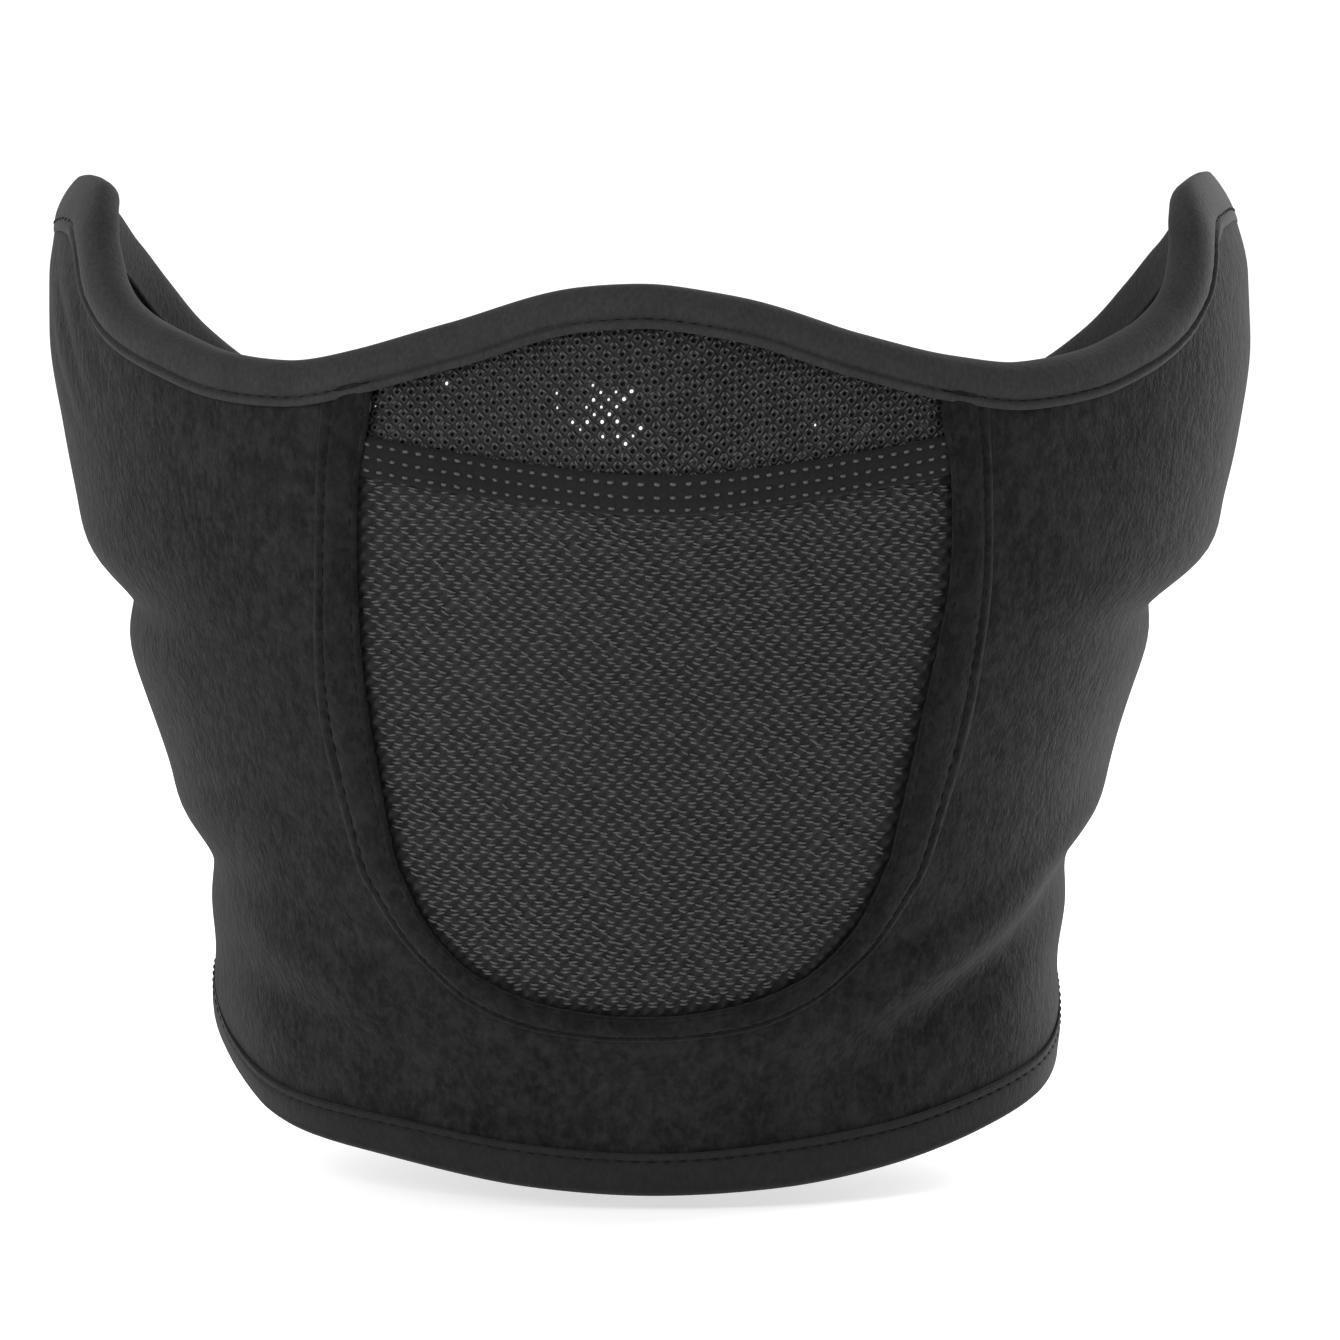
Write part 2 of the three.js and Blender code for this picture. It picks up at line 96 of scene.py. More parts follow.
# ---- curves and the cloth's surface ----
def curve(points):
    """A smooth curve through the points that doesn't overshoot them."""
    x, y = (np.array(c, float) for c in zip(*points))
    slope = np.diff(y) / np.diff(x)
    a, b = slope[:-1], slope[1:]
    inner = np.where(a * b > 0, 2 * a * b / np.where(a + b == 0, 1, a + b), 0)
    tangent = np.concatenate([[slope[0]], inner, [slope[-1]]])

    def value(at):
        at = np.asarray(at, float)
        i = np.clip(np.searchsorted(x, at, side="right") - 1, 0, len(x) - 2)
        w = x[i + 1] - x[i]
        t = np.clip((at - x[i]) / w, 0, 1)
        return (y[i] * (1 + 2 * t) * (1 - t) ** 2 + tangent[i] * w * t * (1 - t) ** 2
                + y[i + 1] * t * t * (3 - 2 * t) + tangent[i + 1] * w * t * t * (t - 1))

    return value


half_width, front_depth, back_depth = curve(HALF_WIDTH), curve(FRONT_DEPTH), curve(BACK_DEPTH)
nose_ridge, top_curve, low_curve = curve(NOSE_RIDGE), curve(TOP_EDGE), curve(LOW_EDGE)


def top_edge(angle):
    """The top edge's height. It isn't quite the same on both sides of the photographed mask."""
    lean = (0.2 * bell(angle, -20, 17) - 1.7 * bell(angle, 23, 19) - 1.6 * bell(angle, -42, 9)
            - 0.7 * bell(angle, -33, 7) - 0.9 * bell(angle, 5, 10) - 1.2 * bell(angle, 40, 10)
            - 1.9 * bell(angle, -94, 14) - 1.0 * bell(angle, 93, 12)
            - 1.0 * bell(angle, -114, 12) - 2.0 * bell(angle, 114, 13))
    slope = 2.5 * bell(angle, 71, 7) - 2.6 * bell(angle, -64, 9)
    return top_curve(np.hypot(angle, 2.5) + slope) + lean


def low_edge(angle):
    """The hem's height, which sags a little more at both front corners than the CAD's."""
    sag = 1.5 * bell(angle, 42, 15) + 1.6 * bell(angle, -60, 24)
    return low_curve(np.hypot(angle, 9)) - 0.5 - sag


def bell(value, centre, half):
    return np.exp(-(((value - centre) / half) ** 2))


def folds(angle, height):
    """How far soft folds push the cloth out or in, in mm, from its smooth shape."""
    side = np.abs(angle)
    # Under the ear and under the jaw the cloth above rolls over the cloth below it.
    out = (1.2 + angle / 180) * bell(height, 104.5, 5.5) * bell(side, 86, 22)
    out += 1.0 * bell(height, 91, 5) * bell(side, 88, 24)
    out += 0.9 * bell(height, 60, 5) * bell(side, 82, 22)
    out += 0.7 * bell(height, 44, 6) * bell(side, 84, 26)
    # A diagonal fold runs from the left jaw down and in to the bottom of the window.
    line = 26 + 0.58 * (angle - 20)
    inside = bell(angle, 46, 25)
    out += 2.5 * bell(height, line + 1, 4.6) * inside
    out -= 2.6 * bell(height, line - 10, 7) * inside
    # The same, fainter, on the other side.
    line = 24 + 0.42 * (-angle - 18)
    inside = bell(angle, -46, 18)
    out += 1.0 * bell(height, line, 5) * inside
    out -= 0.9 * bell(height, line - 9, 6) * inside
    # Vertical drape of the neck, small crumples on the right ear, and slow waves all over.
    neck = 1 / (1 + np.exp((height - 42) / 8))
    out += neck * 0.5 * np.sin(np.radians(angle * 6.5 + 40)) * (0.4 + bell(side, 75, 50))
    out += 0.35 * np.sin((height + angle * 1.9) / 2.6) * bell(angle, -78, 7) * bell(height, 142, 13)
    waves = 0.35 * np.sin(angle / 9.3 + height / 23) + 0.3 * np.sin(height / 11 - angle / 17 + 1.3)
    return out + waves * np.clip((180 - side) / 24, 0, 1)


def inside_face(angle, height, folded=True):
    """The inside face of the lining, in mm from the origin."""
    angle, height = np.broadcast_arrays(np.asarray(angle, float), np.asarray(height, float))
    angle = (angle + 180) % 360 - 180
    side = bell(np.abs(angle), 88, 26)
    crease = sum(deep * bell(height, at, half) for at, deep, half in CREASES)
    x = half_width(height) - crease * side - CLOTH
    front = front_depth(height) + nose_ridge(height) * bell(angle, 0, 11)
    y = np.where(np.abs(angle) < 90, front, back_depth(height)) - CLOTH
    turn = np.radians(angle)
    at = np.stack([x * np.sin(turn), -y * np.cos(turn), height - HEM_DROP], axis=-1)
    if folded:
        push = folds(angle, height)
        push = push * np.clip((top_edge(angle) - height) / 14, 0.15, 1)
        at = at + np.stack([np.sin(turn), -np.cos(turn), 0 * turn], axis=-1) * push[..., None]
        # The lower part sits a little to the right of the ears.
        at[..., 0] -= 2.0 / (1 + np.exp((height - 98) / 6)) / (1 + np.exp((14 - height) / 5))
        # Above the hem both sides belly out.
        at[..., 0] += 1.7 * bell(height, 23, 8) * np.sin(turn)
        # The tip of the right ear cover is squarer than the left one's.
        at[..., 0] -= 1.8 * bell(height, 162, 6) * bell(angle, -86, 16)
    return at


def outward(angle, height):
    """The direction straight out from the cloth."""
    round_it = inside_face(angle + 0.5, height) - inside_face(angle - 0.5, height)
    up = inside_face(angle, height + 0.5) - inside_face(angle, height - 0.5)
    normal = np.cross(round_it, up)
    return normal / np.linalg.norm(normal, axis=-1, keepdims=True)


def cloth(angle, height, out):
    """Points of the cloth in metres, some mm out from its inside face."""
    angle, height, out = np.broadcast_arrays(*(np.asarray(v, float) for v in (angle, height, out)))
    return (inside_face(angle, height) + outward(angle, height) * out[..., None]) * MM


def angle_at(x, height):
    """The angle of a point of the front from its distance to the middle line."""
    return np.degrees(np.arcsin(np.clip(x / (half_width(height) - CLOTH), -0.99, 0.99)))


# ---- meshes ----
def mesh_object(name, points, faces, material, values=None):
    mesh = bpy.data.meshes.new(name)
    mesh.from_pydata(np.asarray(points).tolist(), [], [list(map(int, f)) for f in faces])
    mesh.polygons.foreach_set("use_smooth", np.ones(len(mesh.polygons), bool))
    # The values become the "yarn" attribute, which the mesh's material turns into painted highlight
    # and painted shade.
    if values is not None:
        attribute = mesh.attributes.new("yarn", "FLOAT", "POINT")
        attribute.data.foreach_set("value", np.asarray(values, np.float32).ravel())
    mesh.materials.append(material)
    made = bpy.data.objects.new(name, mesh)
    bpy.context.scene.collection.objects.link(made)
    return made


def cells(keep):
    """Quads of a grid's kept cells, as indices into its points."""
    rows, columns = keep.shape
    i, j = np.nonzero(keep)
    w = columns + 1
    a = i * w + j
    return np.stack([a, a + w, a + w + 1, a + 1], axis=1)


def slab(name, angle, height, outer, inner, material, keep=None, values=None):
    """A closed sheet between two distances out, over the kept cells of a grid."""
    if keep is None:
        keep = np.ones((angle.shape[0] - 1, angle.shape[1] - 1), bool)
    top = cloth(angle, height, outer).reshape(-1, 3)
    low = cloth(angle, height, inner).reshape(-1, 3)
    quads = cells(keep)
    n = len(top)
    edges = np.concatenate([quads[:, [k, (k + 1) % 4]] for k in range(4)])
    code, back = edges[:, 0] * n + edges[:, 1], edges[:, 1] * n + edges[:, 0]
    rim = edges[~np.isin(code, back)]
    faces = np.concatenate([quads, quads[:, ::-1] + n,
                            np.stack([rim[:, 1], rim[:, 0], rim[:, 0] + n, rim[:, 1] + n], axis=1)])
    used, faces = np.unique(faces, return_inverse=True)
    faces = faces.reshape(-1, 4)
    points = np.concatenate([top, low])[used]
    if values is not None:
        values = np.concatenate([values.ravel(), values.ravel()])[used]
    return mesh_object(name, points, faces, material, values)


def tube(name, rings, material):
    """A closed body from an array of rings of points."""
    n, k = rings.shape[:2]
    i, j = np.meshgrid(np.arange(n - 1), np.arange(k), indexing="ij")
    a, b = i * k + j, i * k + (j + 1) % k
    faces = np.stack([a, a + k, b + k, b], axis=-1).reshape(-1, 4).tolist()
    faces += [list(range(k)), list(range((n - 1) * k, n * k))[::-1]]
    return mesh_object(name, rings.reshape(-1, 3), faces, material)


def mm_per_degree(angle, height):
    return np.linalg.norm(inside_face(angle + 0.5, height, False)
                          - inside_face(angle - 0.5, height, False), axis=-1)


def along_edge(angle, height):
    """Unit direction along a path on the cloth, as round and up parts, and mm per degree."""
    reach = mm_per_degree(angle, height)
    step = np.stack([np.gradient(angle) * reach, np.gradient(height)], axis=-1)
    return step / np.linalg.norm(step, axis=-1, keepdims=True), reach


def edge_path(edge, start, end, pitch):
    """Points along an edge from one angle to another, with their direction and mm per degree."""
    angle = np.linspace(start, end, 1200)
    angle, _ = spaced_path(angle, edge(angle), pitch)
    height = edge(angle)
    reach = mm_per_degree(angle, height)
    step = np.stack([reach, edge(angle + 0.5) - edge(angle - 0.5)], axis=-1)
    return angle, height, step / np.linalg.norm(step, axis=-1, keepdims=True), reach


def spaced_path(angle, height, pitch):
    """The same path with points about pitch mm apart."""
    at = inside_face(angle, height, False)
    run = np.concatenate([[0], np.cumsum(np.linalg.norm(np.diff(at, axis=0), axis=1))])
    s = np.linspace(0, run[-1], max(3, int(round(run[-1] / pitch)) + 1))
    return np.interp(s, run, angle), np.interp(s, run, height)


def stitches(name, angle, height, out, material, pitch, length, radius):
    """A row of sewn stitches along a path."""
    angle, height = spaced_path(angle, height, pitch)
    step, reach = along_edge(angle, height)
    return threads(name, angle, height, step, reach, out, material, length, radius)


def threads(name, a, h, step, reach, out, material, length, radius):
    """Short threads at the given places, each dipping into the cloth at both ends."""
    out = np.broadcast_to(out, a.shape)
    rng = np.random.default_rng(len(name) * 7 + 3)
    ring = np.linspace(0, 2 * math.pi, 6, endpoint=False)
    points, faces = [], []
    for k in range(len(a)):
        long = length * rng.uniform(0.88, 1.08)
        tilt = rng.normal(0, 0.07)
        base = len(points)
        for t in (-0.5, -0.36, -0.12, 0.12, 0.36, 0.5):
            sink = -1.5 * radius * (abs(t) * 2) ** 4
            wide = radius * (1 - 0.45 * (abs(t) * 2) ** 3)
            da = (step[k, 0] * t * long - step[k, 1] * tilt * t * long) / reach[k]
            dh = step[k, 1] * t * long + step[k, 0] * tilt * t * long
            for r in ring:
                off = wide * math.cos(r)
                points.append((a[k] + da - step[k, 1] * off / reach[k],
                               h[k] + dh + step[k, 0] * off,
                               out[k] + radius * 0.35 + sink + wide * math.sin(r)))
        for s in range(5):
            for j in range(6):
                p, q = base + s * 6 + j, base + s * 6 + (j + 1) % 6
                faces.append((p, q, q + 6, p + 6))
        faces.append(tuple(base + j for j in range(5, -1, -1)))
        faces.append(tuple(base + 30 + j for j in range(6)))
    p = np.array(points)
    return mesh_object(name, cloth(p[:, 0], p[:, 1], p[:, 2]), faces, material)


# ---- materials ----
def new_material(name):
    material = bpy.data.materials.new(name)
    material.use_nodes = True
    tree = material.node_tree
    return material, tree, tree.nodes["Principled BSDF"]


def cloth_material(name):
    """A new material with its node tree, its shader, and each point's place on the piece."""
    material, tree, shader = new_material(name)
    return material, tree, shader, tree.nodes.new("ShaderNodeTexCoord").outputs["Object"]


def node(tree, kind, **values):
    made = tree.nodes.new(kind)
    for key, value in values.items():
        made.inputs[key].default_value = value
    return made


def noise(tree, vector, scale, stretch, detail, rough):
    mapping = node(tree, "ShaderNodeMapping")
    mapping.inputs["Scale"].default_value = stretch
    tree.links.new(vector, mapping.inputs["Vector"])
    made = node(tree, "ShaderNodeTexNoise", Scale=scale, Detail=detail, Roughness=rough)
    tree.links.new(mapping.outputs["Vector"], made.inputs["Vector"])
    return made.outputs["Fac"]


def ramp(tree, value, stops):
    made = tree.nodes.new("ShaderNodeValToRGB")
    made.color_ramp.interpolation = "EASE"
    for i, (at, colour) in enumerate(stops):
        stop = made.color_ramp.elements[i] if i < 2 else made.color_ramp.elements.new(at)
        stop.position = at
        stop.color = (*colour, 1)
    tree.links.new(value, made.inputs["Fac"])
    return made.outputs["Color"]


def mix(tree, a, b, share, kind="MIX"):
    made = tree.nodes.new("ShaderNodeMix")
    made.data_type = "RGBA"
    made.blend_type = kind
    tree.links.new(a, made.inputs[6])
    tree.links.new(b, made.inputs[7])
    made.inputs[0].default_value = share
    return made.outputs[2]


def bump(tree, shader, value, distance, strength):
    made = node(tree, "ShaderNodeBump", Strength=strength, Distance=distance)
    tree.links.new(value, made.inputs["Height"])
    tree.links.new(made.outputs["Normal"], shader.inputs["Normal"])


def grey(level, tint=(1, 1, 1)):
    return tuple(level * t for t in tint)


def grey_ramp(tree, value, level, stops, tint=(1, 1, 1)):
    """A ramp whose stops are shares of one level of grey."""
    return ramp(tree, value, [(at, grey(level * share, tint)) for at, share in stops])


def cloth_shine(shader, specular, sheen, glow, tint=(1, 1, 1)):
    shader.inputs["Specular IOR Level"].default_value = specular
    shader.inputs["Sheen Weight"].default_value = sheen
    shader.inputs["Sheen Roughness"].default_value = 0.5
    shader.inputs["Sheen Tint"].default_value = (*grey(glow, tint), 1)


def fleece(name, level):
    """Brushed fleece: short upright flecks of pile, matted clumps, and faint wear."""
    material, tree, shader, place = cloth_material(name)
    fleck = noise(tree, place, 860, (1, 1, 0.72), 3.0, 0.62)
    clump = noise(tree, place, 330, (1, 1, 0.8), 4.0, 0.66)
    patch = noise(tree, place, 62, (1, 1, 0.8), 5.0, 0.62)
    flecks = grey_ramp(tree, fleck, level, [(0.34, 0.15), (0.48, 0.9), (0.66, 2.1)])
    clumps = grey_ramp(tree, clump, level, [(0.4, 0.25), (0.61, 2.0)])
    wear = grey_ramp(tree, patch, level, [(0.38, 0.45), (0.62, 1.7)])
    colour = mix(tree, mix(tree, flecks, clumps, 0.5), wear, 0.26)
    tree.links.new(colour, shader.inputs["Base Color"])
    height = tree.nodes.new("ShaderNodeMath")
    height.operation = "ADD"
    tree.links.new(fleck, height.inputs[0])
    tree.links.new(clump, height.inputs[1])
    bump(tree, shader, height.outputs[0], 0.0005, 0.6)
    rough = tree.nodes.new("ShaderNodeMapRange")
    rough.inputs["To Min"].default_value = 0.86
    rough.inputs["To Max"].default_value = 1.0
    tree.links.new(clump, rough.inputs["Value"])
    tree.links.new(rough.outputs["Result"], shader.inputs["Roughness"])
    cloth_shine(shader, 0.12, 0.05, 0.8)
    return material


def knit_cloth(name, level, tint=(1, 1, 1), rib=1500.0, sheen=0.06):
    """Fine flat knit, for bindings and linings."""
    material, tree, shader, place = cloth_material(name)
    fine = noise(tree, place, rib, (1, 1, 0.6), 3.0, 0.6)
    soft = noise(tree, place, 120, (1, 1, 1), 3.0, 0.5)
    ribs = grey_ramp(tree, fine, level, [(0.3, 0.7), (0.72, 1.35)], tint)
    wear = grey_ramp(tree, soft, level, [(0.3, 0.8), (0.75, 1.25)], tint)
    tree.links.new(mix(tree, ribs, wear, 0.4), shader.inputs["Base Color"])
    bump(tree, shader, fine, 0.00025, 0.6)
    shader.inputs["Roughness"].default_value = 0.9
    cloth_shine(shader, 0.2, sheen, 0.5, tint)
    return material


def yarn_mesh(name, level):
    """Knitted mesh, coloured from its relief: a painted highlight on the raised stitches and
    painted shade in the pits between them.
    """
    material, tree, shader, place = cloth_material(name)
    yarn = tree.nodes.new("ShaderNodeAttribute")
    yarn.attribute_name = "yarn"
    patch = noise(tree, place, 420, (1, 1, 1), 3.0, 0.6)
    # Painted light: crowns of the relief are painted brighter (painted highlight), its pits darker
    # (painted shade).
    raised = grey_ramp(tree, yarn.outputs["Fac"], level, [(0.0, 0.12), (0.4, 0.5), (0.95, 1.3)])
    flecks = grey_ramp(tree, patch, 1.0, [(0.35, 0.5), (0.75, 1.25)])
    tree.links.new(mix(tree, raised, flecks, 1.0, "MULTIPLY"), shader.inputs["Base Color"])
    bump(tree, shader, noise(tree, place, 2400, (1, 1, 1), 2.0, 0.5), 0.0001, 0.5)
    shader.inputs["Roughness"].default_value = 0.7
    shader.inputs["Specular IOR Level"].default_value = 0.25
    return material


def thread(name, level, gloss=0.5):
    """Twisted thread or yarn."""
    material, tree, shader, place = cloth_material(name)
    twist = noise(tree, place, 3200, (1, 1, 1), 2.0, 0.5)
    colour = grey_ramp(tree, twist, level, [(0.3, 0.6), (0.7, 1.5)])
    tree.links.new(colour, shader.inputs["Base Color"])
    bump(tree, shader, twist, 0.0001, 0.5)
    shader.inputs["Roughness"].default_value = 1 - gloss
    shader.inputs["Specular IOR Level"].default_value = gloss
    return material


FLEECE = fleece("black_fleece", 0.0097)
# The facing is the same fleece as the front, in a darker copy: painted shade round the window.
SHADED_FACING = fleece("facing_fleece_painted_shade", 0.0070)
# The bindings' black has a faint purple cast in the photo.
BINDING = knit_cloth("binding_knit", 0.0238, (1.0, 0.965, 1.01))
HEM = knit_cloth("hem_knit", 0.0118, (1.0, 0.965, 1.015), rib=1250.0)
LINING = knit_cloth("lining_knit", 0.006)
NET = yarn_mesh("window_mesh", 0.0245)
# The floats are painted paler than the mesh they lie on: a painted highlight on the yarn.
FLOAT = thread("mesh_yarn_painted_highlight", 0.0435)
TAPE = knit_cloth("join_tape", 0.007, rib=1900.0)
THREAD = thread("black_thread", 0.0075, 0.1)
# The tape's stitches are painted pale grey: a painted highlight on their thread.
TAPE_THREAD_HIGHLIGHT = thread("tape_thread_painted_highlight", 0.045)
NYLON = knit_cloth("hook_and_loop", 0.012, rib=2600.0, sheen=0.1)


def keep_piece(made, body, nodes, blended=False):
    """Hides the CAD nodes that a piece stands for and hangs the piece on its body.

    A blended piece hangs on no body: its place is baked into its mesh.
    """
    if nodes:
        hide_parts(*nodes)
    if blended:
        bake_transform(made)
    else:
        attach(made, body)


# ---- cloth panels ----
def grid(start, end, columns, rows):
    """Angles and heights of a panel's points, from one angle to another and from hem to top."""
    angle, t = np.meshgrid(np.linspace(start, end, columns), np.linspace(0, 1, rows))
    low, top = low_edge(angle) + PANEL_INSET, top_edge(angle) - PANEL_INSET
    return angle, low + (top - low) * t


def half_outline(pairs, count):
    """Evenly sampled (x, height) points of one side of the window, from its top to the middle."""
    h, x = (np.array(c, float) for c in zip(*pairs))
    u = np.linspace(0, len(h) - 1, count)
    i = np.clip(u.astype(int), 0, len(h) - 2)
    t = u - i

    def through(v):
        before, after = v[np.maximum(i - 1, 0)], v[np.minimum(i + 2, len(v) - 1)]
        a, b = v[i], v[i + 1]
        return 0.5 * (2 * a + (b - before) * t + (2 * before - 5 * a + 4 * b - after) * t ** 2
                      + (3 * a - before - 3 * b + after) * t ** 3)

    return through(x), through(h)


def window_outline(margin=0.0):
    x, h = half_outline(WINDOW, 500)
    step = np.stack([np.gradient(x), np.gradient(h)], axis=-1)
    step /= np.maximum(np.linalg.norm(step, axis=-1, keepdims=True), 1e-9)
    return x - step[:, 1] * margin, h + step[:, 0] * margin


outline_x, outline_h = window_outline()


def window_distance(x, h):
    """How far inside the window's outline points lie, in mm, negative outside; and the nearest."""
    ax = np.abs(x)
    gap = (ax[:, None] - outline_x[None]) ** 2 + (h[:, None] - outline_h[None]) ** 2
    i = gap.argmin(axis=1)
    step_x, step_h = np.gradient(outline_x)[i], np.gradient(outline_h)[i]
    side = step_x * (h - outline_h[i]) - step_h * (ax - outline_x[i])
    return np.sqrt(gap.min(axis=1)) * np.where(side > 0, -1, 1), i


def cut_window(angle, height, margin):
    """The cells outside the window, with the cells' corners moved onto its outline."""
    x = inside_face(angle, height, False)[..., 0]
    near = np.abs(angle) < 42
    far = np.full(angle.shape, -99.0)
    where = np.full(angle.shape, 0)
    far[near], where[near] = window_distance(x[near], height[near])
    far += margin
    middle = (far[:-1, :-1] + far[1:, :-1] + far[:-1, 1:] + far[1:, 1:]) / 4
    keep = middle < 0
    kept, cut = np.zeros(angle.shape, bool), np.zeros(angle.shape, bool)
    for i in (0, 1):
        for j in (0, 1):
            rows = slice(i, i + keep.shape[0]), slice(j, j + keep.shape[1])
            kept[rows] |= keep
            cut[rows] |= ~keep
    rim = kept & cut
    ox, oh = window_outline(margin)
    i = where[rim]
    angle, height = angle.copy(), height.copy()
    side = np.sign(angle[rim])
    side[side == 0] = 1
    height[rim] = oh[i]
    angle[rim] = side * angle_at(ox[i], oh[i])
    return angle, height, keep


def fleece_panels():
    angle, height = grid(-SEAM, SEAM, 250, 112)
    angle, height, keep = cut_window(angle, height, WINDOW_INSET)
    panel = slab("front_fleece", angle, height, CLOTH, FLEECE_BACK, FLEECE, keep)
    keep_piece(panel, "front", ["front_shell"])
    lining = slab("front_inner", angle, height, LINING_OUT, 0.0, LINING, keep)
    keep_piece(lining, "front", ["front_lining"])
    for side, sign in (("left", 1), ("right", -1)):
        ends = (SEAM, WING_END) if sign > 0 else (-WING_END, -SEAM)
        angle, height = grid(*ends, 84, 90)
        wing = slab(side + "_wing_fleece", angle, height, CLOTH, FLEECE_BACK, FLEECE)
        keep_piece(wing, side + "_wing", [side + "_wing_shell"], True)
        lining = slab(side + "_wing_inner", angle, height, LINING_OUT, 0.0, LINING)
        keep_piece(lining, side + "_wing", [side + "_wing_lining"], True)


# ---- window ----
def facing_band():
    """The inner and outer edges of the facing, from one end under the top binding to the other."""
    count = 260
    ix, ih = half_outline(WINDOW, count)
    ox, oh = half_outline(FACING_EDGE, count)
    ix, ox = np.concatenate([ix, -ix[-2::-1]]), np.concatenate([ox, -ox[-2::-1]])
    ih, oh = np.concatenate([ih, ih[-2::-1]]), np.concatenate([oh, oh[-2::-1]])
    top = [top_edge(angle_at(x, h)) - BINDING_WIDTH + 2.5 for x, h in ((ix, ih), (ox, oh))]
    ih, oh = np.minimum(ih, top[0]), np.minimum(oh, top[1])
    under = np.nonzero((ih < top[0] - 0.01) & (oh < top[1] - 0.01))[0]
    keep = slice(under[0] - 1, under[-1] + 2)
    return ix[keep], ih[keep], ox[keep], oh[keep]


def band_points(band, v):
    """Points of the facing, at shares v of its width from the inner edge."""
    ix, ih, ox, oh = (b[:, None] for b in band)
    x, h = ix + (ox - ix) * v, ih + (oh - ih) * v
    return angle_at(x, h), h


def facing():
    band = facing_band()
    # The band's section: shares of its width, and mm out from the inside face.
    v = np.array([0.03, 0.0, 0.03, 0.08, 0.13, 0.2, 0.3, 0.42, 0.54, 0.64, 0.71, 0.76, 0.8, 0.84,
                  0.89, 0.94, 1.0, 1.03, 1.02, 0.97, 0.5])
    out = np.array([3.5, 4.1, 4.55, 4.7, 4.5, 4.75, 4.95, 5.0, 4.95, 4.85, 4.7, 4.5, 4.3, 4.5,
                    4.6, 4.5, 4.3, 4.0, 3.8, 3.75, 3.7])
    a, h = band_points(band, v[None])
    rows = np.arange(len(a))[:, None]
    pucker = 0.09 * np.sin(rows * 1.9) * bell(v, 0.8, 0.12)[None]
    rings = cloth(a, h, out[None] + pucker)
    made = tube("window_facing_band", rings[:, ::-1], SHADED_FACING)
    keep_piece(made, "front", ["window_facing"])
    for name, at, level, nodes in (("facing_stitch_outer", 0.8, 4.35, ["facing_stitch"]),
                                   ("facing_stitch_inner", 0.13, 4.5, [])):
        a, h = band_points(band, np.array([[at]]))
        row = stitches(name, a[:, 0], h[:, 0], level, THREAD, 2.6, 1.7, 0.22)
        keep_piece(row, "front", nodes)


def tape_middle(x):
    """The height of the tape's middle line, which sags between the window's sides."""
    return TAPE_CENTRE + TAPE_RISE * (x / 48) ** 2


def in_panel(x, h, lower, margin=2.2):
    """Whether points belong to the lower or the upper mesh panel."""
    far = np.full(x.shape, -9.0)
    centre = np.abs(x) < 52
    far[centre], _ = window_distance(x[centre], h[centre])
    inside = (far > -margin) & (h < top_edge(angle_at(x, h)) - 2)
    above = h - tape_middle(x)
    return inside & ((above < MESH_OVERLAP) if lower else (above > -MESH_OVERLAP))


def stretch(x, h):
    """The mesh's rows as they are pulled a little out of line in the window."""
    return (x + 0.35 * np.sin(h / 13 + x / 21) + 0.18 * np.sin(h / 5.1 - x / 9),
            h + 0.3 * np.sin(x / 15 + 0.8) + 0.16 * np.sin(x / 6.3 + h / 8) + 0.06 * x)


def mouth_net():
    """Knitted mesh of staggered raised pads, each with two short floats of yarn on it."""
    dx, dh = PAD_PITCH[0] / 4, PAD_PITCH[1] / 4
    i, j = np.meshgrid(np.arange(-84, 85), np.arange(36, 192))
    x, h = stretch(i * dx, j * dh)
    ring = np.cos((i + j) * math.pi / 2) + np.cos((i - j) * math.pi / 2)
    rng = np.random.default_rng(11)
    # yarn sets each point's rise and, through the mesh's material, its colour: painted highlight on
    # the pads' crowns, painted shade in the pits.
    yarn = np.clip(0.5 + 0.25 * ring, 0, 1) * rng.uniform(0.8, 1.0, i.shape)
    inside = in_panel(x, h, True)
    keep = inside[:-1, :-1] & inside[1:, :-1] & inside[:-1, 1:] & inside[1:, 1:]
    angle = angle_at(x, h)
    out = NET_OUT + PAD_RISE * yarn
    made = slab("mouth_net", angle, h, out, out - NET_THICK, NET, keep, yarn)
    keep_piece(made, "front", ["mouth_mesh"])
    pads = inside & (((i % 4 == 0) & (j % 4 == 0)) | ((i % 4 == 2) & (j % 4 == 2)))
    pads &= in_panel(x, h, True, -0.6)
    px, ph = x[pads], h[pads]
    for name, rise in (("upper", 0.44), ("lower", -0.3)):
        n = len(px)
        fx, fh = px + rng.normal(0, 0.14, n), ph + rise + rng.normal(0, 0.1, n)
        tilt = rng.normal(0.12, 0.16, n)
        step = np.stack([np.cos(tilt), -np.sin(tilt)], axis=-1)
        a = angle_at(fx, fh)
        reach = np.radians((half_width(fh) - CLOTH)) * np.cos(np.radians(a))
        level = 2.45 + rng.uniform(-0.12, 0.1, n)
        row = threads("mouth_floats_" + name, a, fh, step, reach, level, FLOAT, 1.5, 0.2)
        keep_piece(row, "front", [])


